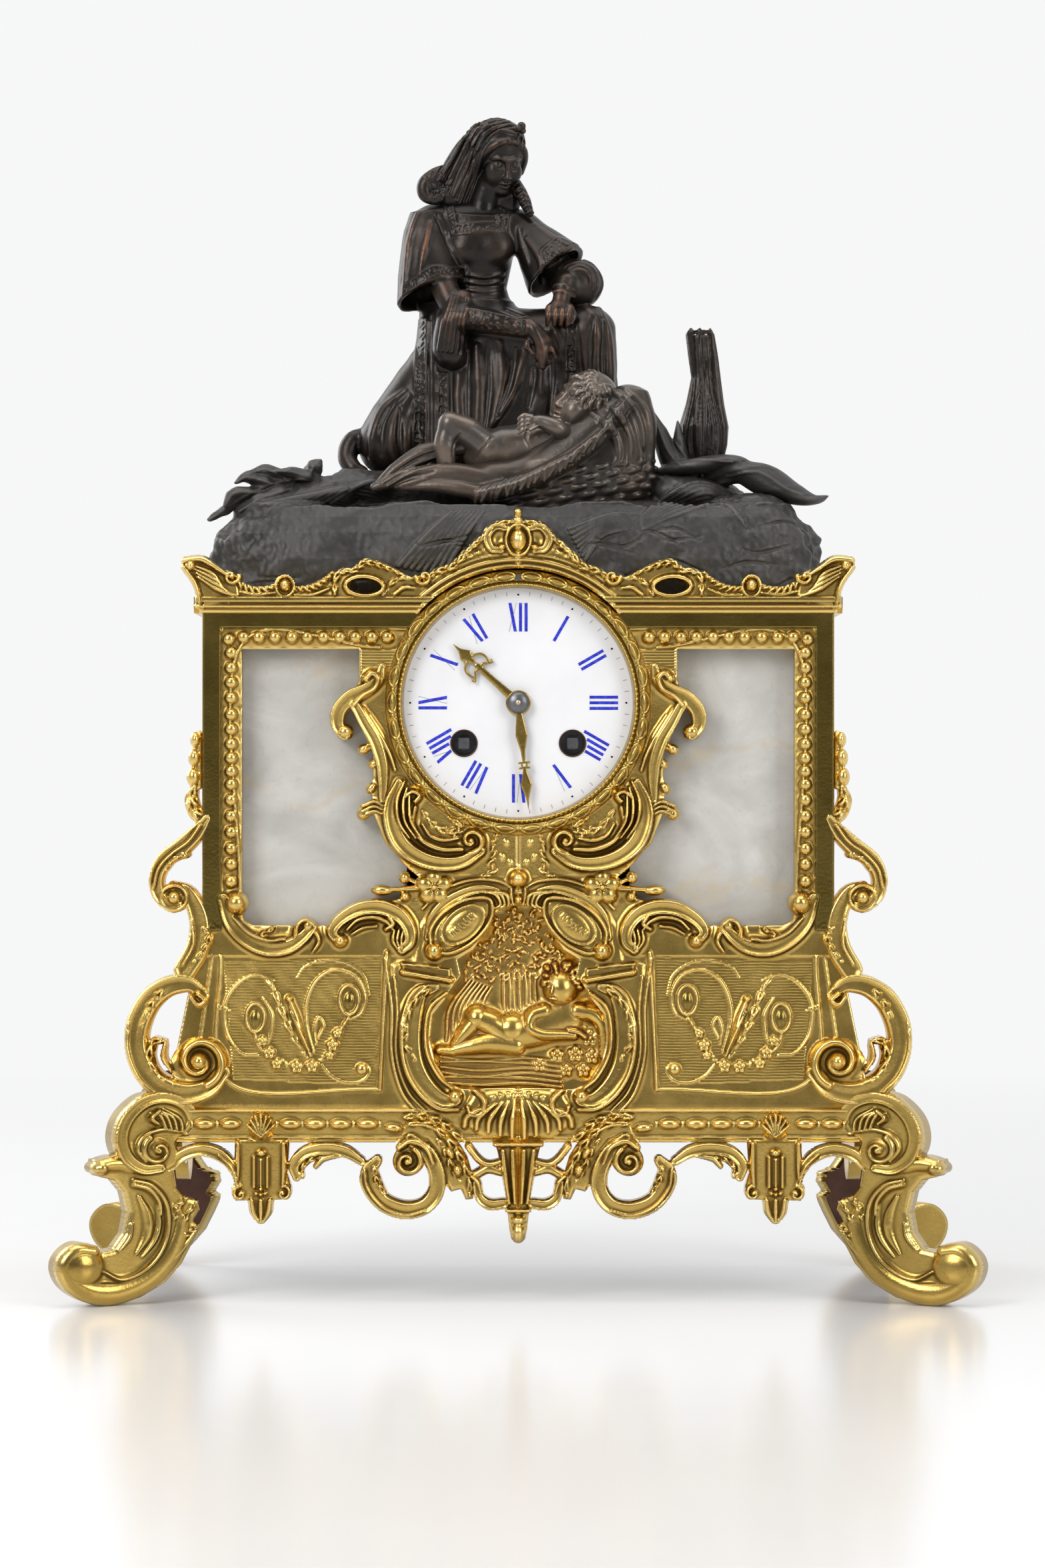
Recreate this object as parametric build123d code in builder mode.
"""Mantel clock with a figure group: gilt case, stone panels and a striking eight-day movement.

Millimetres, +Z up. The origin is on the table under the middle of the clock, and the dial faces -Y.
"""

import os
from math import atan2, cos, degrees, hypot, pi, radians, sin, sqrt

from build123d import *

# Case
leg_height = 60.0
base_height = 12.0
flare_height = 68.0
upright_height = 117.0
case_half_width = 118.5
base_flare = 13.5
case_front = 52.0
base_half_depth = 60.0
front_wall = 8.0
side_wall = 5.0
back_wall = 3.0
floor_thickness = 3.0
deck_thickness = 6.0
deck_overhang = 3.0
frame_width = 13.5
panel_thickness = 10.0
panel_lap = 4.0
fit_gap = 0.2

base_half_width = case_half_width + base_flare
base_z = leg_height
base_top_z = base_z + base_height
flare_z = base_top_z + flare_height
cornice_z = flare_z + upright_height
deck_top_z = cornice_z + deck_thickness
deck_half_width = case_half_width + deck_overhang

# Dial and bezel
dial_drop = 33.5
dial_radius = 45.0
dial_thickness = 2.0
dial_setback = 2.5
bezel_lap = 2.0
bezel_width = 7.0
bezel_depth = 6.0
flange_wall = 1.4
arch_margin = 4.0
mount_margin = 12.0
key_hole_radius = 4.6
centre_hole_radius = 4.0
regulator_radius = 1.2
regulator_hole_radius = 1.6

dial_z = cornice_z - dial_drop
bezel_inner_radius = dial_radius - bezel_lap
bezel_outer_radius = bezel_inner_radius + bezel_width
flange_radius = dial_radius + fit_gap + flange_wall
opening_radius = flange_radius + fit_gap
arch_radius = bezel_outer_radius + arch_margin
regulator_z = dial_z + dial_radius + 1.9

# Movement: plates, arbors and depths behind the case's front face
plate_radius = 42.5
plate_thickness = 2.5
plate_gap = 34.0
front_plate_depth = 15.5
arbor_radius = 0.9
pivot_radius = 0.55
pivot_play = 0.05
end_shake = 0.1
barrel_x = 20.4
barrel_drop = 15.2
pillar_radius = 2.5

front_plate_y = -case_front + front_plate_depth
inner_front_y = front_plate_y + plate_thickness
inner_back_y = inner_front_y + plate_gap
back_plate_y = inner_back_y + plate_thickness
dial_front_y = -case_front + dial_setback
dial_back_y = dial_front_y + dial_thickness

# Rocky mound: a low plinth over the deck and a ledge on it, where the figure kneels
mound_half_width = deck_half_width - 7.5
mound_height = 34.5
ledge_height = 16.5
body_sides = 12

plinth_z = deck_top_z + mound_height
seat_z = plinth_z + ledge_height

parts = {}


def front_plane(y, x=0.0, z=0.0):
    """A plane that faces the viewer, with X to the right and Z up in it."""
    return Plane(origin=(x, y, z), x_dir=(1, 0, 0), z_dir=(0, -1, 0))


def crescent(start, outer, inner, end):
    """A C-scroll: two arcs between the same two ends, added to the open sketch."""
    with BuildLine() as outline:
        ThreePointArc(start, outer, end)
        ThreePointArc(end, inner, start)
    make_face(outline.edges())


def flat_shape(points):
    """A face with straight edges, added to the open sketch."""
    with BuildLine() as outline:
        Polyline(*points, close=True)
    make_face(outline.edges())


def disc(centre_at, y_start, y_end, radius, mode=Mode.ADD):
    """A round solid from y_start forward to y_end, added to the open part."""
    with BuildSketch(front_plane(y_start)) as section:
        with Locations(centre_at):
            Circle(radius)
    extrude(section.sketch, amount=y_start - y_end, mode=mode)


def ring(half_x, half_y):
    """A flat-sided oval as points, for bodies that need few faces."""
    angles = [radians(360 * (i + 0.5) / body_sides) for i in range(body_sides)]
    return [(half_x * cos(a), half_y * sin(a)) for a in angles]


def skin(sections):
    """A body through ovals: each is (centre, half width, half depth, axis it stands across)."""
    faces = []
    for at, half_width, half_depth, axis in sections:
        with BuildSketch(Plane(origin=at, x_dir=(0, 1, 0), z_dir=axis)) as section:
            flat_shape(ring(half_depth, half_width))
        faces.append(section.sketch)
    loft(faces, ruled=True)


def limb(points, radii):
    """A tapering limb in straight lengths, each starting a little behind its joint."""
    stations = [Vector(*p) for p in points]
    for i in range(len(stations) - 1):
        along = (stations[i + 1] - stations[i]).normalized()
        faces = []
        for at, radius in ((stations[i] - along * radii[i] / 2, radii[i]), (stations[i + 1], radii[i + 1])):
            with BuildSketch(Plane(origin=at, x_dir=(0, 1, 0), z_dir=along)) as section:
                flat_shape(ring(radius, radius))
            faces.append(section.sketch)
        loft(faces, ruled=True)


def case_outline(inset):
    """Half of the case seen from the front, from the base up, as (x, z) points on the right."""
    return [
        (base_half_width - inset, base_z),
        (base_half_width - inset, base_top_z),
        (case_half_width - inset, flare_z),
        (case_half_width - inset, cornice_z),
    ]


def mirrored(points):
    """The points and their mirror images, as one closed outline."""
    return points + [(-x, z) for x, z in reversed(points)]


# Front casting: a plate that flares to its base, with the dial opening, two windows and a cartouche
window_outer = case_half_width - frame_width
window_inner = 46.0
window_top = cornice_z - frame_width
window_bottom = flare_z - 3.0
cartouche_z = base_z + 52.0
cartouche_half_width = 31.0
cartouche_half_height = 33.0
cartouche_rim = 9.0
mount_relief = 4.0
# Main scrolls with straight edges: round the cartouche and over it as shares of its rim, then beside the windows
c_scroll = [(0.85, 0.14), (1.0, 0.02), (1.1, -0.19), (1.12, -0.4), (1.07, -0.64), (0.92, -0.83), (0.72, -0.95)]
c_scroll += [(0.55, -0.97), (0.55, -0.83), (0.68, -0.78), (0.8, -0.64), (0.88, -0.45), (0.89, -0.24), (0.81, -0.05)]
lens = [(0.81, 0.46), (0.82, 0.62), (0.72, 0.76), (0.56, 0.87), (0.39, 0.91), (0.26, 0.9), (0.33, 0.79), (0.5, 0.7)]
lens += [(0.66, 0.56), (0.75, 0.46)]
sill_scroll = [(-3, 0.5), (4, 7), (16, 10), (27, 8), (34, 0.5), (26, 2), (16, 4), (6, 1.5)]
corner_scroll = [(14, -3), (14, 4), (10, 9), (3, 12), (-3, 9), (-7, 3), (-7, -5), (-2, -5), (0, 3), (6, 6), (10, 1)]

with BuildPart() as front_casting:
    with BuildSketch(Plane.YZ):
        wall = [
            (-base_half_depth, base_z),
            (-base_half_depth, base_top_z),
            (-case_front, flare_z),
            (-case_front, dial_z + arch_radius),
        ]
        flat_shape(wall + [(y + front_wall, z) for y, z in reversed(wall)])
    extrude(amount=base_half_width, both=True)
    with BuildSketch(front_plane(0)):
        flat_shape(mirrored(case_outline(0)))
        with Locations((0, dial_z)):
            Circle(arch_radius)
    extrude(amount=2 * base_half_depth, mode=Mode.INTERSECT)
    # The scroll mounts that hold the dial stand proud of the plate, and so does the cartouche's rim
    with BuildSketch(front_plane(-case_front + front_wall / 2, z=dial_z)):
        Circle(bezel_outer_radius + 2.0)
        for side in (-1, 1):
            crescent((side * 52, 14), (side * 50, -33), (side * 43, -27), (side * 14, -62))
    extrude(amount=front_wall / 2 + mount_relief)
    # Below the windows the face leans; the rim and the main scrolls are measured on that slope
    slope = (0, flare_z - base_top_z, case_front - base_half_depth)
    leaning = Plane(origin=(0, -base_half_depth, base_top_z), x_dir=(1, 0, 0), z_dir=(0, -slope[1], -slope[2]))
    rim_width, rim_height = cartouche_half_width + cartouche_rim, cartouche_half_height + cartouche_rim
    with BuildSketch(leaning):
        with Locations((0, cartouche_z - base_top_z)):
            Ellipse(rim_width, rim_height)
    extrude(amount=mount_relief / 2)
    with BuildSketch(leaning):
        for side in (-1, 1):
            for scroll in (c_scroll, lens):
                flat_shape([(side * x * rim_width, cartouche_z - base_top_z + z * rim_height) for x, z in scroll])
            flat_shape([(side * (window_outer - x), window_bottom - base_top_z - z) for x, z in sill_scroll])
        flat_shape(mirrored([(15, 8), (20, 1), (17, -8), (12, -11)]))
    extrude(amount=mount_relief + 1.0)
    with BuildSketch(front_plane(-case_front)):
        for side in (-1, 1):
            flat_shape([(side * (window_inner + x), window_bottom + z) for x, z in corner_scroll])
    extrude(amount=mount_relief + 1.0)
    with BuildSketch(front_plane(-case_front, z=cartouche_z)):
        Ellipse(cartouche_half_width, cartouche_half_height)
    extrude(amount=base_half_depth, mode=Mode.SUBTRACT)
    disc((0, dial_z), 0, -2 * base_half_depth, opening_radius, mode=Mode.SUBTRACT)
    disc((0, dial_z), -case_front, -2 * base_half_depth, bezel_outer_radius + fit_gap, mode=Mode.SUBTRACT)
    disc((0, regulator_z), 0, -2 * base_half_depth, regulator_hole_radius, mode=Mode.SUBTRACT)
    with BuildSketch(front_plane(0)):
        for side in (-1, 1):
            flat_shape(
                [
                    (side * window_outer, window_bottom),
                    (side * window_outer, window_top),
                    (side * window_inner, window_top),
                    (side * window_inner, window_bottom),
                ]
            )
        with Locations((0, dial_z)):
            Circle(bezel_outer_radius + mount_margin, mode=Mode.SUBTRACT)
        with Locations((window_inner, window_bottom), (-window_inner, window_bottom)):
            Circle(16.0, mode=Mode.SUBTRACT)
    extrude(amount=2 * base_half_depth, mode=Mode.SUBTRACT)
parts["front_casting"] = front_casting.part


def side_plate(side):
    """A side wall that follows the case's outline, with a sunk field on its upright part."""
    outer = [(side * x, z) for x, z in case_outline(0)]
    inner = [(side * x, z) for x, z in reversed(case_outline(side_wall))]
    field = 14.0
    with BuildPart() as plate:
        with BuildSketch(front_plane(base_half_depth)) as section:
            flat_shape(outer + inner)
        extrude(section.sketch, amount=2 * base_half_depth)
        with BuildSketch(Plane.YZ.offset(side * case_half_width)) as sunk:
            with Locations(((base_half_depth - case_front) / 2, (flare_z + cornice_z) / 2)):
                Rectangle(2 * case_front - 2 * field, upright_height - 2 * field)
        extrude(sunk.sketch, amount=side_wall / 3, both=True, mode=Mode.SUBTRACT)
        with BuildSketch(Plane.YZ) as front_part:
            flat_shape(
                [
                    (-base_half_depth - 1, base_z - 1),
                    (-base_half_depth + front_wall, base_z - 1),
                    (-base_half_depth + front_wall, base_top_z),
                    (-case_front + front_wall, flare_z),
                    (-case_front + front_wall, cornice_z + 1),
                    (-base_half_depth - 1, cornice_z + 1),
                ]
            )
        extrude(front_part.sketch, amount=2 * base_half_width, both=True, mode=Mode.SUBTRACT)
    return plate.part


for side_name, side in (("left", -1), ("right", 1)):
    parts[f"{side_name}_side_plate"] = side_plate(side)

# Back panel: closes the case between its side walls, with a round opening behind the movement
rear_opening_radius = dial_drop - 4.0
with BuildPart() as back_panel:
    with BuildSketch(front_plane(base_half_depth)):
        flat_shape(mirrored(case_outline(side_wall)))
        with Locations((0, dial_z)):
            Circle(rear_opening_radius, mode=Mode.SUBTRACT)
    extrude(amount=back_wall)
parts["back_panel"] = back_panel.part

# Floor of the case, seated between the walls
floor_front = -base_half_depth + front_wall
floor_back = base_half_depth - back_wall
with BuildPart() as floor_plate:
    with BuildSketch(Plane.XY.offset(base_z)):
        with Locations((0, (floor_front + floor_back) / 2)):
            Rectangle(2 * (base_half_width - side_wall), floor_back - floor_front)
    extrude(amount=floor_thickness)
parts["floor_plate"] = floor_plate.part

# Deck: the moulded top of the case, open at the front for the upper part of the movement
notch_half_width = plate_radius + 5.5
notch_back = back_plate_y + 18.0
with BuildPart() as deck_plate:
    deck_front = -case_front - deck_overhang
    with BuildSketch(Plane.XY.offset(cornice_z)):
        with Locations((0, deck_front)):
            Rectangle(2 * deck_half_width, base_half_depth - deck_front, align=(Align.CENTER, Align.MIN))
            Rectangle(
                2 * notch_half_width,
                notch_back - deck_front,
                align=(Align.CENTER, Align.MIN),
                mode=Mode.SUBTRACT,
            )
    extrude(amount=deck_thickness)
    front_edges = deck_plate.edges().filter_by(Axis.X).group_by(Axis.Y)[0]
    chamfer(front_edges.group_by(Axis.Z)[0], deck_thickness / 3)
parts["deck_plate"] = deck_plate.part

# Gallery: the pierced cresting along the front of the deck, which arches over the dial
gallery_thickness = 5.0
crest_half_width = deck_half_width + 3.5
crest_band = 9.0
dial_rise = dial_z - deck_top_z
with BuildPart() as gallery:
    with BuildSketch(front_plane(deck_front + gallery_thickness, z=deck_top_z)):
        Rectangle(2 * deck_half_width, 5, align=(Align.CENTER, Align.MIN))
        for side in (-1, 1):
            # Horn at the corner, a pierced scroll and the slope of the pediment
            flat_shape(
                [
                    (side * deck_half_width, 0),
                    (side * crest_half_width, 13),
                    (side * (crest_half_width - 5), 15),
                    (side * (deck_half_width - 17), 4),
                    (side * (deck_half_width - 17), 0),
                ]
            )
            with Locations((side * (arch_radius + 3.5), 3)):
                Ellipse(17, 10.5)
            crescent((side * 46, 2), (side * 24, 16), (side * 22, 8), (side * 2, 24))
        with Locations((0, dial_rise)):
            Circle(arch_radius + crest_band)
        with Locations((0, dial_rise + arch_radius + crest_band)):
            Ellipse(11, 9)
        with Locations((0, dial_rise + arch_radius + crest_band + 7)):
            Circle(3.2)
        with Locations((0, dial_rise)):
            Circle(arch_radius + fit_gap, mode=Mode.SUBTRACT)
        with Locations((-arch_radius - 3.5, 4), (arch_radius + 3.5, 4)):
            Ellipse(5.5, 2.2, mode=Mode.SUBTRACT)
        Rectangle(4 * deck_half_width, 4 * dial_z, align=(Align.CENTER, Align.MAX), mode=Mode.SUBTRACT)
    extrude(amount=gallery_thickness)
parts["gallery"] = gallery.part


def stone_panel(side):
    """A slab that laps the window's edges behind the front casting, cut round for the movement."""
    with BuildPart() as panel:
        with BuildSketch(front_plane(-case_front + front_wall + panel_thickness)) as slab:
            flat_shape(
                [
                    (side * (window_outer + panel_lap), flare_z),
                    (side * (window_outer + panel_lap), window_top + panel_lap),
                    (side * (window_inner - panel_lap), window_top + panel_lap),
                    (side * (window_inner - panel_lap), flare_z),
                ]
            )
            with Locations((0, dial_z)):
                Circle(opening_radius + 2.0, mode=Mode.SUBTRACT)
        extrude(slab.sketch, amount=panel_thickness)
        # The foot of the slab fills the window where the casting starts to flare
        with BuildSketch(front_plane(-case_front + front_wall + panel_thickness)) as foot_strip:
            strip = [
                (side * (window_outer - fit_gap), window_bottom + fit_gap),
                (side * (window_outer - fit_gap), flare_z),
                (side * (window_inner + 16.0 + fit_gap), flare_z),
                (side * (window_inner + 16.0 + fit_gap), window_bottom + fit_gap),
            ]
            flat_shape(strip)
        extrude(foot_strip.sketch, amount=panel_thickness)
    return panel.part


for side_name, side in (("left", -1), ("right", 1)):
    parts[f"{side_name}_stone_panel"] = stone_panel(side)

# Relief plaque in the cartouche: a reclining form stands out of an oval ground
plaque_thickness = 5.0
with BuildPart() as relief_plaque:
    with BuildSketch(front_plane(-case_front, z=cartouche_z)):
        Ellipse(cartouche_half_width - fit_gap, cartouche_half_height - fit_gap)
    extrude(amount=plaque_thickness)
    plaque_y = -case_front - plaque_thickness
    skin(
        [
            ((-24, plaque_y, cartouche_z - 10), 2.5, 1.5, (1, 0, 0)),
            ((-8, plaque_y, cartouche_z - 5), 5.0, 2.6, (1, 0, 0)),
            ((6, plaque_y, cartouche_z - 2), 6.5, 2.8, (1, 0, 0.3)),
            ((14, plaque_y, cartouche_z + 8), 5.0, 2.6, (1, 0, 1)),
            ((18, plaque_y, cartouche_z + 14), 2.0, 1.5, (1, 0, 1)),
        ]
    )
parts["relief_plaque"] = relief_plaque.part

# Side brackets: pierced C-scrolls on each side
bracket_thickness = 8.0


def bracket(side):
    """Scrolls measured outward and up from where the case starts to flare."""
    middle_y = -case_front + bracket_thickness / 2
    flare = base_half_width - case_half_width
    root = Plane(origin=(side * case_half_width, middle_y, flare_z), x_dir=(side, 0, 0), z_dir=(0, -side, 0))
    with BuildPart() as scrolls:
        with BuildSketch(root) as outline:
            # Husk, upper scroll and its volute
            crescent((-0.5, 76), (5, 60), (-2, 54), (-0.5, 30))
            crescent((-1, 43), (20, 18), (13, 18), (9, 5))
            with Locations((10, 9)):
                Circle(5)
            # Stem and lower scroll, which ends in a volute beside the base
            flat_shape([(-1, 12), (5, 8), (11, 10), (10, -12), (-1, -26)])
            crescent((2, -6), (28, -40), (19, -42), (flare - 6, -68))
            crescent((2, -2), (18, -20), (13, -25), (27, -38))
            with Locations((flare + 2, -60)):
                Circle(7.5)
        extrude(outline.sketch, amount=bracket_thickness / 2, both=True)
        # The scrolls end where the wall begins
        with BuildSketch(front_plane(base_half_depth)) as walls:
            flat_shape(mirrored(case_outline(0)))
        extrude(walls.sketch, amount=2 * base_half_depth, mode=Mode.SUBTRACT)
    return scrolls.part


for side_name, side in (("left", -1), ("right", 1)):
    parts[f"{side_name}_bracket"] = bracket(side)

# Aprons: pierced scrollwork under the base
apron_thickness = 6.0
apron_half_width = base_half_width - 18.0
with BuildPart() as front_apron:
    with BuildSketch(front_plane(-base_half_depth + apron_thickness, z=base_z)):
        Rectangle(2 * apron_half_width, 4, align=(Align.CENTER, Align.MAX))
        for side in (-1, 1):
            # Tablet, then the scrolls beside it; across, each point is a share of the half width
            w = side * apron_half_width
            tablet = [(0.75, 0), (0.75, -21), (0.8, -26), (0.835, -31), (0.87, -26), (0.92, -21), (0.92, 0)]
            flat_shape([(w * share, z) for share, z in tablet])
            crescent((w * 0.995, -11), (w * 0.96, -2), (w * 0.96, -7), (w * 0.915, -12))
            crescent((w * 0.755, -12), (w * 0.615, -2), (w * 0.615, -8), (w * 0.49, -11))
            crescent((w * 0.5, -8), (w * 0.38, -28), (w * 0.377, -20), (w * 0.228, -2))
            crescent((w * 0.14, -14), (w * 0.2, -10), (w * 0.175, -6), (w * 0.237, -2))
            with Locations((w * 0.35, -8.5)):
                Circle(5.5)
            with Locations((w * 0.096, -18)):
                Circle(7.5)
            with Locations((w * 0.105, -18)):
                Circle(3.2, mode=Mode.SUBTRACT)
        flat_shape(mirrored([(1.5, -38), (3, -30), (4.5, -24), (6, -12), (9, 0)]))
    extrude(amount=apron_thickness)
parts["front_apron"] = front_apron.part


def side_apron(side):
    """A lobed strip under a side wall."""
    half_length = base_half_depth - 20.0
    inner_x = side * (base_half_width - side_wall)
    face = Plane(origin=(inner_x, 0, base_z), x_dir=(0, side, 0), z_dir=(side, 0, 0))
    with BuildPart() as apron:
        with BuildSketch(face) as outline:
            Rectangle(2 * half_length, 4, align=(Align.CENTER, Align.MAX))
            crescent((-half_length, -3), (-half_length / 2, -12), (-half_length / 2, -1), (0, -3))
            crescent((half_length, -3), (half_length / 2, -12), (half_length / 2, -1), (0, -3))
            crescent((-12, -3), (0, -20), (0, -1), (12, -3))
        extrude(outline.sketch, amount=side_wall)
    return apron.part


for side_name, side in (("left", -1), ("right", 1)):
    parts[f"{side_name}_apron"] = side_apron(side)

# Feet: scroll legs that splay from the corners of the base
foot_splay = 25.0
foot_thickness = 12.0
pad_length = 8.0


def foot(side, depth_sign):
    """A leg in an upright plane through a corner; u runs outward from it and z up from the table."""
    splay = radians(foot_splay)
    outward = Vector(side * cos(splay), depth_sign * sin(splay), 0)
    corner = (side * base_half_width, depth_sign * base_half_depth, 0)
    face = Plane(origin=corner, x_dir=outward, z_dir=outward.cross(Vector(0, 0, 1)))
    top = base_z
    with BuildPart() as leg:
        with BuildSketch(face) as shape:
            with BuildLine() as outline:
                ThreePointArc((-12, 0.6 * top), (-2, 0.15 * top), (18, 0))
                Line((18, 0), (18 + pad_length, 0))
                ThreePointArc((18 + pad_length, 0), (39, 3.5), (44, 15.5))
                ThreePointArc((44, 15.5), (36, 25.5), (25.5, 20.5))
                ThreePointArc((25.5, 20.5), (13.5, 0.5 * top), (18, top - 17.5))
                Line((18, top - 17.5), (29.5, top - 10.5))
                ThreePointArc((29.5, top - 10.5), (28, top - 4), (20, top - 3))
                Polyline((20, top - 3), (6, top), (-13, top), (-13, top - 6), (-4, top - 14), (-3, top - 21))
                Line((-3, top - 21), (-12, 0.6 * top))
            make_face(outline.edges())
            # Corner scroll beside the base
            with Locations((11.5, top + 4)):
                Circle(11)
            with Locations((12.5, top + 5)):
                Circle(5.5, mode=Mode.SUBTRACT)
        extrude(shape.sketch, amount=foot_thickness / 2, both=True)
    return leg.part


for depth_name, depth_sign in (("front", -1), ("rear", 1)):
    for side_name, side in (("left", -1), ("right", 1)):
        parts[f"{depth_name}_{side_name}_foot"] = foot(side, depth_sign)

# Screws of the back panel
with BuildPart() as case_screws:
    screw_x = case_half_width - side_wall - 8.0
    for z in (cornice_z - 10, flare_z, base_top_z):
        for side in (-1, 1):
            disc((side * screw_x, z), base_half_depth + 1.2, base_half_depth, 2.5)
parts["case_screws"] = case_screws.part

# Bezel, with a flange round the dial
with BuildPart() as dial_bezel:
    lip = -case_front - bezel_depth
    with BuildSketch(Plane.YZ):
        flat_shape(
            [
                (-case_front, dial_z + bezel_outer_radius),
                (-case_front - 1.5, dial_z + bezel_outer_radius),
                (lip, dial_z + bezel_outer_radius - 2.5),
                (lip, dial_z + bezel_outer_radius - 4.0),
                (lip + 2.5, dial_z + bezel_inner_radius + 0.8),
                (dial_front_y, dial_z + bezel_inner_radius),
                (dial_front_y, dial_z + dial_radius + fit_gap),
                (-case_front + front_wall, dial_z + dial_radius + fit_gap),
                (-case_front + front_wall, dial_z + flange_radius),
                (-case_front, dial_z + flange_radius),
            ]
        )
    revolve(axis=Axis((0, 0, dial_z), (0, 1, 0)))
    disc((0, regulator_z), 0, -2 * base_half_depth, regulator_hole_radius, mode=Mode.SUBTRACT)
parts["dial_bezel"] = dial_bezel.part

# Enamel dial on three feet that reach the movement's front plate
with BuildPart() as enamel_dial:
    disc((0, dial_z), dial_back_y, dial_front_y, dial_radius)
    for angle in (60, 180, 300):
        at = (34 * cos(radians(angle)), dial_z + 34 * sin(radians(angle)))
        disc(at, front_plate_y, dial_back_y, 1.2)
    for side in (-1, 1):
        at = (side * barrel_x, dial_z - barrel_drop)
        disc(at, dial_back_y, dial_front_y, key_hole_radius, mode=Mode.SUBTRACT)
    disc((0, dial_z), dial_back_y, dial_front_y, centre_hole_radius, mode=Mode.SUBTRACT)
parts["enamel_dial"] = enamel_dial.part

# Straps that draw the bezel's flange towards the back panel
strap_width = 8.0
strap_thickness = 1.0
with BuildPart() as movement_straps:
    strap_start = -case_front + front_wall
    strap_end = base_half_depth - back_wall
    for side in (-1, 1):
        with BuildSketch(front_plane(strap_end, z=dial_z)):
            with Locations((side * (dial_radius + fit_gap + strap_thickness / 2), 0)):
                Rectangle(strap_thickness, strap_width)
        extrude(amount=strap_end - strap_start)
parts["movement_straps"] = movement_straps.part

# Rear bezel with two hinge knuckles, and the door that turns between them
rear_lip = 3.0
rear_outer_radius = rear_opening_radius + 3.5
door_thickness = 2.0
knuckle_radius = 1.6
knuckle_half = 5.0
knuckle_length = 4.0
hinge_x = rear_outer_radius + 1.0
hinge_y = base_half_depth + rear_lip + door_thickness + 0.8
rear_face_y = base_half_depth + rear_lip
with BuildPart() as rear_bezel:
    with BuildSketch(Plane.YZ):
        flat_shape(
            [
                (base_half_depth, dial_z + rear_outer_radius),
                (rear_face_y, dial_z + rear_outer_radius - 1.0),
                (rear_face_y, dial_z + rear_opening_radius - 2.0),
                (base_half_depth - back_wall, dial_z + rear_opening_radius - 2.0),
                (base_half_depth - back_wall, dial_z + rear_opening_radius),
                (base_half_depth, dial_z + rear_opening_radius),
            ]
        )
    revolve(axis=Axis((0, 0, dial_z), (0, 1, 0)))
    for low in (knuckle_half + 0.1, -knuckle_half - 0.1 - knuckle_length):
        with BuildSketch(Plane.XY.offset(dial_z + low)):
            with Locations((hinge_x, hinge_y)):
                Circle(knuckle_radius)
            flat_shape(
                [
                    (hinge_x - 2.2, rear_face_y - 1.0),
                    (hinge_x, base_half_depth),
                    (hinge_x + knuckle_radius, base_half_depth),
                    (hinge_x + knuckle_radius, hinge_y),
                    (hinge_x, hinge_y),
                ]
            )
        extrude(amount=knuckle_length)
parts["rear_bezel"] = rear_bezel.part

with BuildPart() as rear_door:
    door_front = rear_face_y + 0.05
    disc((0, dial_z), door_front + door_thickness, door_front, rear_opening_radius + 1.0)
    with BuildSketch(Plane.XY.offset(dial_z - knuckle_half)):
        with Locations((hinge_x, hinge_y)):
            Circle(knuckle_radius)
        flat_shape(
            [
                (rear_opening_radius - 1.0, door_front + 0.6),
                (hinge_x, door_front + 1.2),
                (hinge_x, hinge_y + knuckle_radius),
                (rear_opening_radius - 1.0, door_front + door_thickness),
            ]
        )
    extrude(amount=2 * knuckle_half)
parts["rear_door"] = rear_door.part

# Trains: where each arbor stands between the plates
barrel_teeth, barrel_module = 48, 0.8
pinion_leaves = 8
centre_leaves = 10
second_teeth, second_module = 48, 0.5
centre_teeth, centre_module = 40, 0.6
third_teeth, third_module = 36, 0.55
escape_teeth, escape_radius = 24, 7.5
pin_teeth, pin_module = 40, 0.55
warning_teeth, warning_module = 36, 0.5
cannon_teeth, minute_teeth, motion_module = 10, 30, 0.66
minute_leaves, hour_teeth = 8, 32
hour_module = motion_module * (cannon_teeth + minute_teeth) / (minute_leaves + hour_teeth)


def mesh_distance(wheel_teeth, leaves, module):
    """Distance between the arbors of a wheel and the pinion that meshes with it."""
    return module * (wheel_teeth + leaves) / 2


def bearing(start, end):
    """Direction from one arbor to another, in degrees from +X towards +Z."""
    return degrees(atan2(end[1] - start[1], end[0] - start[0]))


def stepped_off(start, distance, direction):
    """The arbor that lies a distance away from another in a direction."""
    return (start[0] + distance * cos(radians(direction)), start[1] + distance * sin(radians(direction)))


def meeting(first, first_distance, second, second_distance):
    """The point at two given distances from two arbors, on the left of the way from first to second."""
    span = hypot(second[0] - first[0], second[1] - first[1])
    along = (first_distance**2 - second_distance**2 + span**2) / (2 * span)
    rise = sqrt(first_distance**2 - along**2)
    ux, uz = (second[0] - first[0]) / span, (second[1] - first[1]) / span
    return (first[0] + along * ux - rise * uz, first[1] + along * uz + rise * ux)


barrel_reach = mesh_distance(barrel_teeth, pinion_leaves, barrel_module)
escape_reach = mesh_distance(third_teeth, pinion_leaves, third_module)
centre = (0, dial_z)
going_arbor_at = (barrel_x, dial_z - barrel_drop)
strike_arbor_at = (-barrel_x, dial_z - barrel_drop)
second_reach = mesh_distance(second_teeth, centre_leaves, second_module)
second_at = meeting(centre, second_reach, going_arbor_at, barrel_reach)
third_at = stepped_off(centre, mesh_distance(centre_teeth, pinion_leaves, centre_module), 95)
escape_at = (0, third_at[1] + sqrt(escape_reach**2 - third_at[0] ** 2))
anchor_at = (0, escape_at[1] + 1.42 * escape_radius)
pin_at = stepped_off(strike_arbor_at, barrel_reach, 94)
warning_at = stepped_off(pin_at, mesh_distance(pin_teeth, pinion_leaves, pin_module), 52)
fly_at = stepped_off(warning_at, mesh_distance(warning_teeth, pinion_leaves, warning_module), 78)
hammer_at = stepped_off(pin_at, 18.0, 124)
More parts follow.
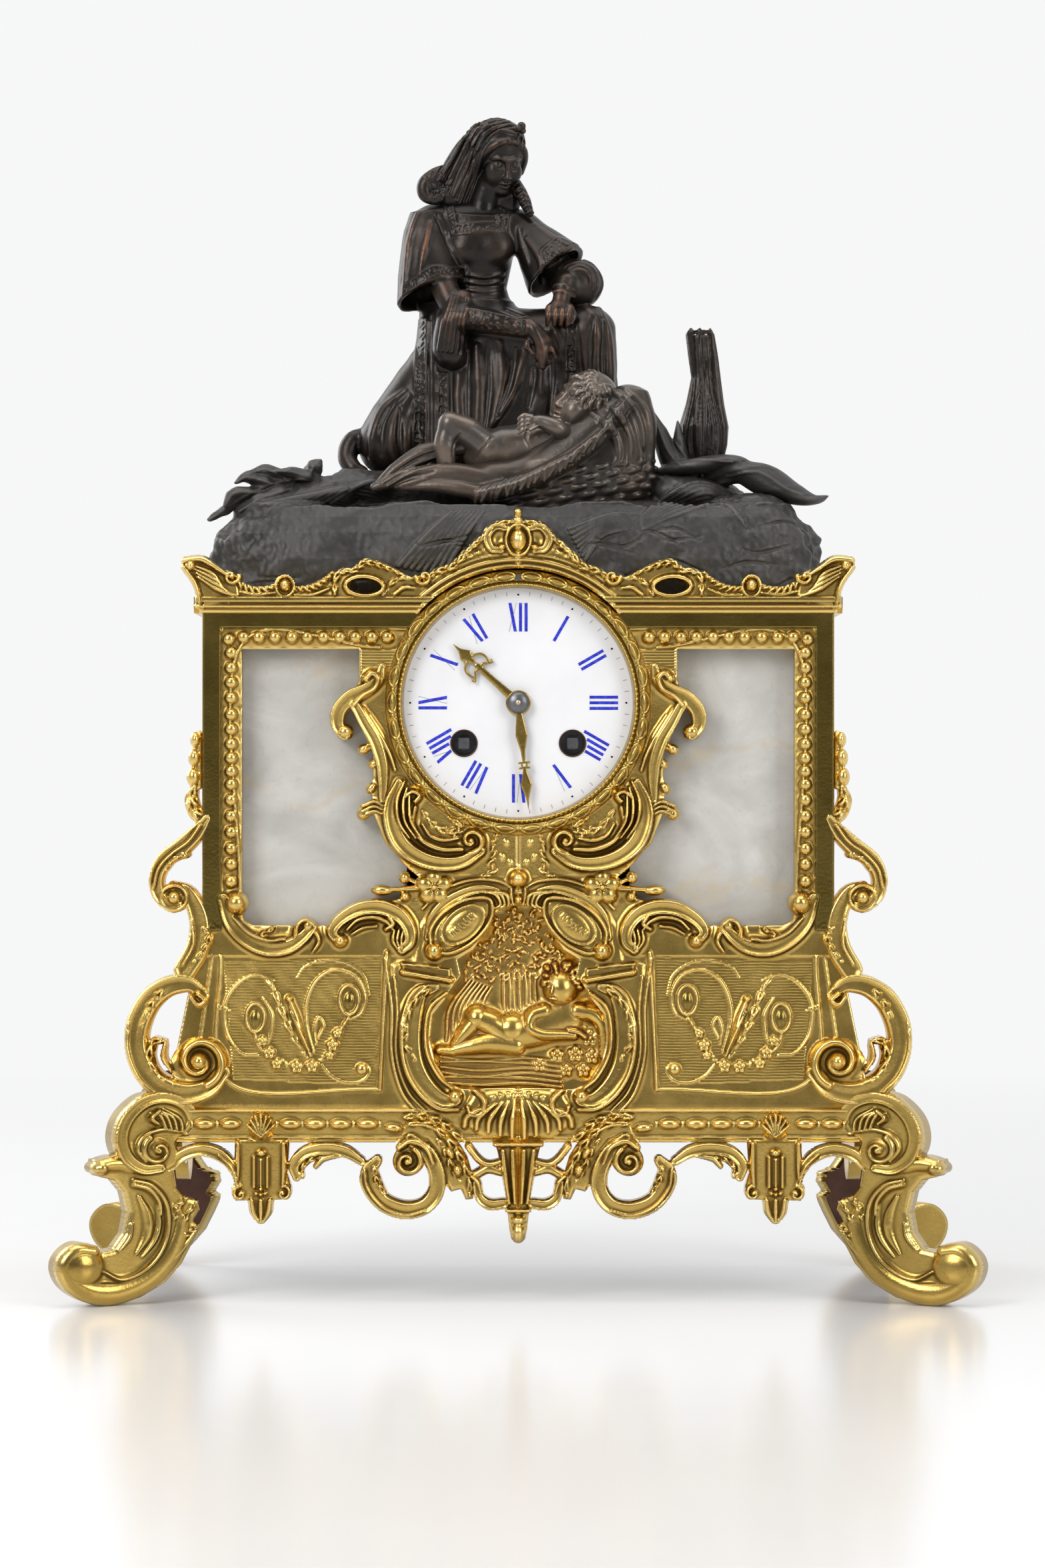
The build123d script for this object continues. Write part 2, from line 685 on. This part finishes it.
minute_wheel_at = stepped_off(centre, mesh_distance(minute_teeth, cannon_teeth, motion_module), -90)
pillar_at = [stepped_off(centre, plate_radius - 3.5, angle) for angle in (15, 165, 258, 282)]
bell_at = (12.0, dial_z - 14.0)

# Levels are distances in front of the back plate's inner face
barrel_level = 7.5
barrel_length = 19.0
barrel_drum_radius = 17.0
second_level = 3.4
centre_level = 31.2
third_level = 26.0
escape_level = 18.0
warning_level = 13.0
wheel_thickness = 1.5
pinion_length = 5.0
winder_radius = 2.0


def toothed(centre_at, y_start, thickness, teeth, module, tooth_towards):
    """A toothed disc in front of y_start, with a tooth that points in a direction."""
    pitch = 2 * pi / teeth
    tip = module * (teeth / 2 + 0.7)
    root = module * (teeth / 2 - 1.3)
    points = []
    for i in range(teeth):
        angle = radians(tooth_towards) + i * pitch
        for reach, turn in ((tip, 0), (root, pitch / 2)):
            points.append((centre_at[0] + reach * cos(angle + turn), centre_at[1] + reach * sin(angle + turn)))
    with BuildSketch(front_plane(y_start)) as section:
        flat_shape(points)
    extrude(section.sketch, amount=thickness)


def pinion(centre_at, y_start, leaves, module, wheel_at):
    """A pinion whose gap faces the wheel that drives it."""
    toothed(centre_at, y_start, pinion_length, leaves, module, bearing(centre_at, wheel_at) + 180 / leaves)


def arbor(centre_at):
    """A shaft between the plates, with a pivot in each of them."""
    disc(centre_at, inner_back_y - end_shake, inner_front_y + end_shake, arbor_radius)
    disc(centre_at, back_plate_y, front_plate_y, pivot_radius)


def train_wheel(centre_at, wheel, drives, leaves, driven_by):
    """An arbor with a wheel (level, teeth, module) and a pinion (level, leaves, module)."""
    level, teeth, module = wheel
    pinion_level, count, pinion_module = leaves
    with BuildPart() as member:
        arbor(centre_at)
        toothed(centre_at, inner_back_y - level, wheel_thickness, teeth, module, bearing(centre_at, drives))
        pinion(centre_at, inner_back_y - pinion_level, count, pinion_module, driven_by)
    return member.part


def barrel(centre_at, drives):
    """A spring barrel that turns freely on its winding arbor."""
    drum_back = inner_back_y - barrel_level - 2.5
    with BuildPart() as drum:
        wheel_y = inner_back_y - barrel_level
        toothed(centre_at, wheel_y, 2.5, barrel_teeth, barrel_module, bearing(centre_at, drives))
        disc(centre_at, drum_back, drum_back - barrel_length, barrel_drum_radius)
        disc(centre_at, inner_back_y, inner_front_y, winder_radius + pivot_play, mode=Mode.SUBTRACT)
    return drum.part


def winding_arbor(centre_at):
    """A barrel arbor with its ratchet in front of the plate and a square end in the dial's key hole."""
    ratchet_teeth, ratchet_radius = 16, 7.0
    plate_face = front_plate_y - end_shake
    collar_front = plate_face - 6.0
    points = []
    for i in range(ratchet_teeth):
        angle = 2 * pi * i / ratchet_teeth
        for reach, turn in ((ratchet_radius, 0), (ratchet_radius - 1.2, 0.05)):
            at = angle + turn
            points.append((centre_at[0] + reach * cos(at), centre_at[1] + reach * sin(at)))
    with BuildPart() as winder:
        disc(centre_at, inner_back_y - end_shake, inner_front_y + end_shake, winder_radius)
        disc(centre_at, back_plate_y, plate_face, 1.5)
        disc(centre_at, plate_face, collar_front, 2.6)
        with BuildSketch(front_plane(collar_front)) as square:
            with Locations(centre_at):
                Rectangle(4.0, 4.0)
        extrude(square.sketch, amount=collar_front - dial_front_y + 1.0)
        with BuildSketch(front_plane(plate_face)) as ratchet:
            flat_shape(points)
        extrude(ratchet.sketch, amount=1.5)
    return winder.part


parts["going_barrel"] = barrel(going_arbor_at, second_at)
parts["strike_barrel"] = barrel(strike_arbor_at, pin_at)
parts["going_winding_arbor"] = winding_arbor(going_arbor_at)
parts["strike_winding_arbor"] = winding_arbor(strike_arbor_at)
parts["second_wheel"] = train_wheel(
    second_at,
    (second_level, second_teeth, second_module),
    centre,
    (barrel_level - 1.0, pinion_leaves, barrel_module),
    going_arbor_at,
)
parts["third_wheel"] = train_wheel(
    third_at,
    (third_level, third_teeth, third_module),
    escape_at,
    (centre_level - 2.4, pinion_leaves, centre_module),
    centre,
)
parts["warning_wheel"] = train_wheel(
    warning_at,
    (warning_level, warning_teeth, warning_module),
    fly_at,
    (second_level - 1.5, pinion_leaves, pin_module),
    pin_at,
)

# Pin wheel of the strike; its arbor runs on behind the back plate to carry the count wheel
count_gap = 1.5
count_thickness = 1.5
with BuildPart() as pin_wheel:
    add(
        train_wheel(
            pin_at,
            (second_level, pin_teeth, pin_module),
            warning_at,
            (barrel_level - 1.0, pinion_leaves, barrel_module),
            strike_arbor_at,
        )
    )
    disc(pin_at, back_plate_y + count_gap, back_plate_y, pivot_radius)
parts["pin_wheel"] = pin_wheel.part

with BuildPart() as count_wheel:
    disc(pin_at, back_plate_y + count_gap + count_thickness, back_plate_y + count_gap, 13.0)
    # The notches between the hours
    with BuildSketch(front_plane(back_plate_y + count_gap + count_thickness)) as notches:
        turn = 0
        for hour in range(1, 13):
            turn += 360 * (hour + 1) / 90
            with Locations(stepped_off(pin_at, 13.0, turn)):
                Rectangle(2.0, 4.0, rotation=turn - 90)
    extrude(notches.sketch, amount=count_thickness, mode=Mode.SUBTRACT)
parts["count_wheel"] = count_wheel.part

# Fly: the air brake of the strike
with BuildPart() as fly:
    arbor(fly_at)
    pinion(fly_at, inner_back_y - warning_level + 1.5, pinion_leaves, warning_module, warning_at)
    with BuildSketch(front_plane(inner_back_y - escape_level - 2.5, fly_at[0], fly_at[1])):
        Rectangle(12.0, 0.8)
    extrude(amount=4.5)
parts["fly"] = fly.part

# Centre wheel: its arbor runs on through the front plate to carry the hands
centre_arbor_radius = 1.2
hand_front_y = -case_front - 2.0
with BuildPart() as centre_wheel:
    disc(centre, inner_back_y - end_shake, inner_front_y + end_shake, centre_arbor_radius + 0.3)
    disc(centre, back_plate_y, inner_back_y - end_shake, pivot_radius)
    disc(centre, inner_front_y + end_shake, hand_front_y, centre_arbor_radius)
    toothed(
        centre, inner_back_y - centre_level, wheel_thickness, centre_teeth, centre_module, bearing(centre, third_at)
    )
    pinion(centre, inner_back_y - second_level + 1.5, centre_leaves, second_module, second_at)
parts["centre_wheel"] = centre_wheel.part

# Escape wheel, and the anchor over it with the crutch behind the back plate
with BuildPart() as escape_wheel:
    arbor(escape_at)
    escape_module = escape_radius / (escape_teeth / 2 + 0.7)
    toothed(escape_at, inner_back_y - escape_level, wheel_thickness, escape_teeth, escape_module, 90)
    pinion(escape_at, inner_back_y - third_level + 1.5, pinion_leaves, third_module, third_at)
parts["escape_wheel"] = escape_wheel.part

crutch_thickness = 1.5
crutch_back_y = back_plate_y + 1.5 + crutch_thickness
rod_y = back_plate_y + 7.5
rod_radius = 0.9
fork_gap = 0.3
fork_drop = 26.5
with BuildPart() as anchor:
    arbor(anchor_at)
    disc(anchor_at, crutch_back_y, back_plate_y, pivot_radius)
    with BuildSketch(front_plane(inner_back_y - escape_level, z=anchor_at[1])):
        arm = [(4, 1.2), (9.4, -6.4), (8.3, -7.0), (3, -1.6)]
        flat_shape([(0, 2.6), *arm, (0, -1.4), *[(-x, z) for x, z in reversed(arm)]])
        with Locations((0, escape_at[1] - anchor_at[1])):
            Circle(escape_radius + 0.7, mode=Mode.SUBTRACT)
    extrude(amount=wheel_thickness)
    with BuildSketch(front_plane(crutch_back_y, z=anchor_at[1])):
        Rectangle(2.4, fork_drop, align=(Align.CENTER, Align.MAX))
        Circle(2.4)
        with Locations((0, -fork_drop)):
            Rectangle(2 * (rod_radius + fork_gap + 1.0), 3.0)
    extrude(amount=crutch_thickness)
    with BuildSketch(front_plane(rod_y + 2.0, z=anchor_at[1] - fork_drop)):
        for side in (-1, 1):
            with Locations((side * (rod_radius + fork_gap + 0.5), 0)):
                Rectangle(1.0, 3.0)
    extrude(amount=rod_y + 2.0 - crutch_back_y)
parts["anchor"] = anchor.part

# Pendulum on the anchor's axis: rod with a rating nut, and a lens-shaped bob that rests on the nut
pendulum_length = 132.0
bob_radius = 17.0
bob_half_thickness = 4.5
nut_radius = 3.0
nut_height = 2.5
bob_z = anchor_at[1] - pendulum_length
rod_top_z = anchor_at[1] + 0.5
with BuildPart() as pendulum_rod:
    with BuildSketch(Plane.XY.offset(bob_z - bob_radius - 2 * nut_height)):
        with Locations((0, rod_y)):
            Circle(rod_radius)
    extrude(amount=rod_top_z - bob_z + bob_radius + 2 * nut_height)
    with BuildSketch(Plane.XY.offset(bob_z - bob_radius)):
        with Locations((0, rod_y)):
            Circle(nut_radius)
    extrude(amount=-nut_height)
parts["pendulum_rod"] = pendulum_rod.part

with BuildPart() as pendulum_bob:
    with BuildSketch(Plane.YZ):
        flat_shape(
            [
                (rod_y - bob_half_thickness, bob_z),
                (rod_y - 0.7 * bob_half_thickness, bob_z + 0.6 * bob_radius),
                (rod_y - 0.15 * bob_half_thickness, bob_z + bob_radius),
                (rod_y + 0.15 * bob_half_thickness, bob_z + bob_radius),
                (rod_y + 0.7 * bob_half_thickness, bob_z + 0.6 * bob_radius),
                (rod_y + bob_half_thickness, bob_z),
            ]
        )
    revolve(axis=Axis((0, 0, bob_z), (0, 1, 0)))
    with BuildSketch(Plane.XY.offset(bob_z - 2 * bob_radius)):
        with Locations((0, rod_y)):
            Circle(rod_radius + 0.02)
    extrude(amount=4 * bob_radius, mode=Mode.SUBTRACT)
parts["pendulum_bob"] = pendulum_bob.part

# Suspension bracket with its spring strip, and the regulator arbor that reaches it from the bezel
with BuildPart() as suspension_bracket:
    with BuildSketch(front_plane(back_plate_y + 2.0, z=anchor_at[1])):
        Rectangle(15.0, 7.0, align=(Align.CENTER, Align.MAX))
        with Locations((0, 0)):
            Rectangle(15.0, 14.0, align=(Align.CENTER, Align.MIN))
        with Locations((0, 4.5)):
            Rectangle(7.5, 20.0, align=(Align.CENTER, Align.MAX), mode=Mode.SUBTRACT)
    extrude(amount=2.0)
    with BuildSketch(front_plane(rod_y + 2.0, z=anchor_at[1])):
        with Locations((0, 7.0)):
            Rectangle(6.0, 7.0, align=(Align.CENTER, Align.MIN))
    extrude(amount=rod_y - back_plate_y)
    with BuildSketch(front_plane(rod_y + 0.15, z=rod_top_z + 0.1)):
        Rectangle(1.6, anchor_at[1] + 7.5 - rod_top_z, align=(Align.CENTER, Align.MIN))
    extrude(amount=0.3)
    disc((0, regulator_z), rod_y + 2.0, 0, regulator_radius + pivot_play, mode=Mode.SUBTRACT)
parts["suspension_bracket"] = suspension_bracket.part

with BuildPart() as regulator_arbor:
    regulator_shoulder = -case_front + front_wall
    disc((0, regulator_z), rod_y + 1.0, regulator_shoulder, regulator_radius)
    with BuildSketch(front_plane(regulator_shoulder, z=regulator_z)):
        Rectangle(2.0, 2.0)
    extrude(amount=front_wall + bezel_depth - 1.0)
parts["regulator_arbor"] = regulator_arbor.part

# Bell on its stand, and the hammer beside its rim
bell_radius = 24.0
bell_mouth_y = back_plate_y + 20.0
bell_depth = 17.0
bell_wall = 1.5
with BuildPart() as bell:
    profile = [(1.0, 0.0), (0.94, 0.5), (0.62, 0.85), (0.2, 1.0)]
    outer = [(bell_mouth_y + d * bell_depth, bell_at[1] + r * bell_radius) for r, d in profile]
    inner = [(y - bell_wall * min(1, d * 2), z - bell_wall * (1 - d)) for (y, z), (r, d) in zip(outer, profile)]
    crown = [(outer[-1][0], bell_at[1]), (outer[-1][0] - bell_wall, bell_at[1])]
    with BuildSketch(Plane.YZ.offset(bell_at[0])):
        flat_shape(outer + crown + list(reversed(inner)))
    revolve(axis=Axis((bell_at[0], 0, bell_at[1]), (0, 1, 0)))
parts["bell"] = bell.part

with BuildPart() as bell_stand:
    disc(bell_at, bell_mouth_y + bell_depth - bell_wall, back_plate_y, 2.0)
    disc(bell_at, back_plate_y + 2.0, back_plate_y, 4.0)
parts["bell_stand"] = bell_stand.part

hammer_rest_gap = 2.0
hammer_head_radius = 3.0
with BuildPart() as hammer:
    arm_y = bell_mouth_y + 3.0
    head_reach = bell_radius + hammer_head_radius + hammer_rest_gap
    head_at = stepped_off(bell_at, head_reach, 164)
    arbor(hammer_at)
    disc(hammer_at, arm_y, back_plate_y, pivot_radius)
    disc(hammer_at, arm_y + 1.0, arm_y - 1.0, 2.5)
    arm_length = hypot(head_at[0] - hammer_at[0], head_at[1] - hammer_at[1])
    toward = bearing(hammer_at, head_at)
    along = (cos(radians(toward)), 0, sin(radians(toward)))
    with BuildSketch(Plane(origin=(hammer_at[0], arm_y + 0.8, hammer_at[1]), x_dir=along, z_dir=(0, -1, 0))):
        Rectangle(arm_length, 1.8, align=(Align.MIN, Align.CENTER))
    extrude(amount=1.6)
    disc(head_at, arm_y + 3.0, arm_y - 2.5, hammer_head_radius)
    # The tail that the pins of the pin wheel lift
    tail_at = stepped_off(hammer_at, 6.0, bearing(hammer_at, pin_at))
    disc(hammer_at, inner_back_y - second_level + 1.5, inner_back_y - second_level, 1.8)
    tail_along = (tail_at[0] - hammer_at[0], 0, tail_at[1] - hammer_at[1])
    with BuildSketch(
        Plane(origin=(hammer_at[0], inner_back_y - second_level + 1.5, hammer_at[1]), x_dir=tail_along, z_dir=(0, -1, 0))
    ):
        Rectangle(6.0, 1.5, align=(Align.MIN, Align.CENTER))
    extrude(amount=1.5)
parts["hammer"] = hammer.part


# Plates, bored for every arbor
def movement_plate(y_back, bores):
    """A round plate in front of y_back with a list of (centre, radius) bores."""
    with BuildPart() as plate:
        disc(centre, y_back, y_back - plate_thickness, plate_radius)
        for at, radius in bores:
            disc(at, y_back, y_back - plate_thickness, radius, mode=Mode.SUBTRACT)
    return plate.part


pivot_bore = pivot_radius + pivot_play
train_at = (second_at, third_at, escape_at, anchor_at, pin_at, warning_at, fly_at, hammer_at)
train_bores = [(at, pivot_bore) for at in train_at]
winder_bores = [(at, 1.5 + pivot_play) for at in (going_arbor_at, strike_arbor_at)]
parts["back_movement_plate"] = movement_plate(back_plate_y, train_bores + winder_bores + [(centre, pivot_bore)])
parts["front_movement_plate"] = movement_plate(
    inner_front_y, train_bores + winder_bores + [(centre, centre_arbor_radius + pivot_play)]
)

with BuildPart() as movement_pillars:
    for at in pillar_at:
        disc(at, inner_back_y, inner_front_y, pillar_radius)
parts["movement_pillars"] = movement_pillars.part

# Motion work in front of the plate; levels are distances in front of the plate's face
cannon_radius = 2.0
hour_pipe_radius = 3.0
minute_level = 2.7
hour_level = 5.5
hour_hand_y = dial_front_y - 0.9
minute_hand_y = hour_hand_y - 1.6
hand_thickness = 0.8
with BuildPart() as cannon_pinion:
    cannon_back = front_plate_y - 0.3
    disc(centre, cannon_back, minute_hand_y - hand_thickness, cannon_radius)
    toothed(
        centre,
        front_plate_y - minute_level + 0.4,
        wheel_thickness + 0.8,
        cannon_teeth,
        motion_module,
        bearing(centre, minute_wheel_at) + 180 / cannon_teeth,
    )
    disc(centre, 0, -2 * base_half_depth, centre_arbor_radius + pivot_play, mode=Mode.SUBTRACT)
parts["cannon_pinion"] = cannon_pinion.part

with BuildPart() as minute_wheel:
    disc(minute_wheel_at, front_plate_y - 0.3, front_plate_y - hour_level - 2.5, 1.6)
    toothed(
        minute_wheel_at,
        front_plate_y - minute_level,
        wheel_thickness,
        minute_teeth,
        motion_module,
        bearing(minute_wheel_at, centre),
    )
    toothed(
        minute_wheel_at,
        front_plate_y - hour_level + 0.4,
        wheel_thickness + 0.8,
        minute_leaves,
        hour_module,
        bearing(minute_wheel_at, centre) + 180 / minute_leaves,
    )
    disc(minute_wheel_at, 0, -2 * base_half_depth, 1.0 + pivot_play, mode=Mode.SUBTRACT)
parts["minute_wheel"] = minute_wheel.part

with BuildPart() as minute_post:
    disc(minute_wheel_at, front_plate_y, front_plate_y - hour_level - 3.0, 1.0)
    add(parts["front_movement_plate"])
parts["front_movement_plate"] = minute_post.part

with BuildPart() as hour_wheel:
    disc(centre, front_plate_y - hour_level, hour_hand_y, hour_pipe_radius)
    toothed(
        centre,
        front_plate_y - hour_level,
        wheel_thickness,
        hour_teeth,
        hour_module,
        bearing(centre, minute_wheel_at),
    )
    disc(centre, 0, -2 * base_half_depth, cannon_radius + pivot_play, mode=Mode.SUBTRACT)
parts["hour_wheel"] = hour_wheel.part

# Hands, drawn pointing up and turned clockwise to where they stand at rest
hour_hand_length = 33.2
minute_hand_length = 40.9
hour_angle = 311.9
minute_angle = 174.4


def hand_plane(y, angle):
    """A plane that faces the viewer, with its own up turned clockwise by an angle."""
    return Plane(origin=(0, y, dial_z), x_dir=(cos(radians(angle)), 0, -sin(radians(angle))), z_dir=(0, -1, 0))


with BuildPart() as hour_hand:
    with BuildSketch(hand_plane(hour_hand_y, hour_angle)):
        Circle(4.8)
        flat_shape(mirrored([(0.3, hour_hand_length), (0.9, 30), (1.0, 21), (1.4, 4)]))
        crescent((0, 21.5), (4.6, 26), (3.0, 26.4), (0.5, 30.5))
        crescent((0, 21.5), (-4.6, 26), (-3.0, 26.4), (-0.5, 30.5))
        Circle(cannon_radius + pivot_play, mode=Mode.SUBTRACT)
    extrude(amount=hand_thickness)
parts["hour_hand"] = hour_hand.part

with BuildPart() as minute_hand:
    with BuildSketch(hand_plane(minute_hand_y, minute_angle)):
        Circle(4.6)
        flat_shape(mirrored([(0.25, minute_hand_length), (0.6, 34), (0.9, 14), (1.2, 4)]))
        for reach in (14.0, 16.5):
            with Locations((0, reach)):
                Rectangle(4.0, 0.9)
        Circle(cannon_radius, mode=Mode.SUBTRACT)
    extrude(amount=hand_thickness)
parts["minute_hand"] = minute_hand.part

# Figure group, drawn with its heights measured from the ledge
with BuildPart() as infant:
    limb([(24, -17, 17), (14, -18, 11), (0, -18, 8), (-14, -18, 6)], [6, 9.5, 10, 9])
    skin(
        [
            ((19, -18, 16), 5, 5, (0.5, 0, 1)),
            ((23, -18, 22), 10, 9.5, (0.5, 0, 1)),
            ((27, -18, 30), 10, 9.5, (0.5, 0, 1)),
            ((30, -18, 36), 4.5, 4.5, (0.5, 0, 1)),
        ]
    )
    limb([(-12, -22, 6), (-26, -23, 15), (-26, -24, 0)], [8, 6, 4])
    limb([(-12, -14, 4), (-30, -15, 3), (-44, -17, -2)], [7, 5.5, 3.5])
    limb([(18, -25, 15), (10, -30, 8), (5, -29, 15)], [4.5, 4, 3])

with BuildPart() as basket:
    skin(
        [
            ((18, -18, -ledge_height), 27, 15, (0, 0, 1)),
            ((18, -18, -6), 31, 17, (-0.2, 0, 1)),
            ((19, -18, 12), 36, 18, (-0.39, 0, 0.92)),
        ]
    )
    limb([(-6, -22, -3), (-30, -24, -6), (-52, -24, -10)], [10, 7, 3.5])
    add(infant.part, mode=Mode.SUBTRACT)

with BuildPart() as kneeling_figure:
    # Skirt, raised knee, the leg folded behind with its foot, and the coat that falls over it
    skin(
        [
            ((-12, 8, 0), 30, 17, (0, 0, 1)),
            ((-11, 8, 16), 27, 16, (0, 0, 1)),
            ((-12, 9, 36), 22, 15, (0, 0, 1)),
            ((-12, 10, 54), 17, 13, (0, 0, 1)),
            ((-13, 9, 72), 8.5, 7.5, (0, 0, 1)),
        ]
    )
    limb([(-8, 6, 56), (27, -3, 54.5), (31, -2, 36), (32, 2, 0)], [12, 9.4, 7.8, 9])
    limb([(-32, 10, 38), (-46, 11, 20), (-52, 9, 11)], [13, 12.5, 11])
    limb([(-54, 9, 13), (-65, 8, 12), (-66, 5, 4), (-61, 2, 0)], [4.6, 4.2, 3.8, 2.6])
    upright = (0, 0, 1)
    skin([((-33, 10, 0), 8.5, 15, upright), ((-33, 10, 31), 7.8, 14, upright), ((-27, 10, 70), 7.5, 9.5, upright)])
    # Body, shoulders, neck, head and hair
    skin(
        [
            ((-13, 9, 70), 8, 7, (0, 0, 1)),
            ((-14, 7, 85), 12, 9.4, (0, 0, 1)),
            ((-14.5, 7, 94), 16, 10, (0, 0, 1)),
            ((-13, 7, 105), 7, 6.5, (0, 0, 1)),
            ((-10, 5, 111), 4.8, 5, (0, 0, 1)),
        ]
    )
    limb([(-33, 8, 96.5), (-14, 8, 98), (2, 9, 94)], [7.8, 7.4, 6.8])
    skin(
        [
            ((-8.5, 1, 107.5), 4.2, 5, (0, 0, 1)),
            ((-8, 1.5, 115), 8.5, 10, (0, 0, 1)),
            ((-7.5, 3, 124), 10.2, 12.5, (0, 0, 1)),
            ((-7.5, 4.5, 133), 9.2, 11.5, (0, 0, 1)),
            ((-7.5, 5, 139), 3.5, 5, (0, 0, 1)),
        ]
    )
    limb([(-9, 12, 128), (-13, 16, 112), (-15, 16, 92)], [9, 9, 5])
    limb([(-9, 9, 128), (-18, 10, 121), (-25, 9, 109)], [9, 9.2, 7.4])
    # Sleeves, the gathered elbow, the puff and the forearms
    limb([(-34, 7.5, 97), (-38, 5, 86), (-36.5, 2, 68)], [7.4, 10.2, 12.6])
    limb([(-22, -6, 66), (-27, -4.5, 53), (-26, -4, 43)], [4, 6.6, 4.6])
    limb([(-29, -1, 72), (-25, -6, 60), (-12, -11, 58), (2, -15, 54), (9, -17, 45)], [5.2, 5.4, 5, 3.8, 3.4])
    limb([(1, 8.5, 95), (7, 6, 88), (14, 3.5, 79)], [6.6, 8.8, 12.5])
    skin([((23, 2, 62), 7, 6, upright), ((22.6, 2, 72.6), 10, 9, upright), ((21, 2, 82), 6, 6, upright)])
    limb([(19, -4, 74), (16.6, -7, 66), (16, -9, 57)], [4.8, 3.6, 4.4])
    add(infant.part, mode=Mode.SUBTRACT)
    add(basket.part, mode=Mode.SUBTRACT)
    # Everything rests on the level of the ledge
    with BuildSketch(Plane.XY):
        Rectangle(4 * mound_half_width, 4 * mound_half_width)
    extrude(amount=-2 * mound_height, mode=Mode.SUBTRACT)

ledge_front = -14.0
with BuildPart() as flower_bud:
    bud = [(0, 5.5), (16, 8.9), (30, 8.2), (44, 6.2), (54, 5.4)]
    skin([((72 - h / 30, -4, h), r, r, (0, 0, 1)) for h, r in bud])

with BuildPart() as broad_leaf:
    with BuildSketch(front_plane(ledge_front)):
        flat_shape([(74, -6), (84, 4), (100, 3), (112, -3), (118, -11), (108, -9), (96, -7), (84, -8)])
        flat_shape([(78, -8), (70, 2), (61, 12), (52, 22), (57, 8), (63, -3), (70, -9)])
    extrude(amount=6.0)
    add(basket.part, mode=Mode.SUBTRACT)

with BuildPart() as leaf_spray:
    with BuildSketch(front_plane(-20, z=-ledge_height)):
        flat_shape([(-72, 0), (-78, 9), (-98, 20), (-94, 11), (-120, 14), (-104, 6), (-113, 0)])
    extrude(amount=8.0)

with BuildPart() as rock_base:
    plan = [(1.0, -40), (0.91, -48), (-0.91, -48), (-1.0, -40), (-1.0, 32), (-0.91, 40), (0.91, 40), (1.0, 32)]
    lower = []
    shoulder_z = deck_top_z + 0.6 * mound_height
    for z, width, depth in ((deck_top_z, 1.0, 1.0), (shoulder_z, 0.96, 0.97), (plinth_z, 0.9, 0.88)):
        with BuildSketch(Plane.XY.offset(z - seat_z)) as level:
            flat_shape([(x * mound_half_width * width, y * depth) for x, y in plan])
        lower.append(level.sketch)
    loft(lower, ruled=True)
    with BuildSketch(Plane.XY.offset(-ledge_height)) as ledge:
        flat_shape([(-76, ledge_front), (88, ledge_front), (94, 4), (86, 30), (-64, 32), (-80, 12)])
    extrude(ledge.sketch, amount=ledge_height)
    add(basket.part, mode=Mode.SUBTRACT)
    add(infant.part, mode=Mode.SUBTRACT)
    disc((0, dial_z - seat_z), rod_y + 6.0, -2 * base_half_depth, arch_radius + 1.0, mode=Mode.SUBTRACT)

for name, piece in (
    ("rock_base", rock_base),
    ("kneeling_figure", kneeling_figure),
    ("infant", infant),
    ("basket", basket),
    ("flower_bud", flower_bud),
    ("broad_leaf", broad_leaf),
    ("leaf_spray", leaf_spray),
):
    parts[name] = Pos(0, 0, seat_z) * piece.part

os.makedirs("parts", exist_ok=True)
for name, solid in parts.items():
    solid.label = name
    export_step(solid, os.path.join("parts", name + ".step"))
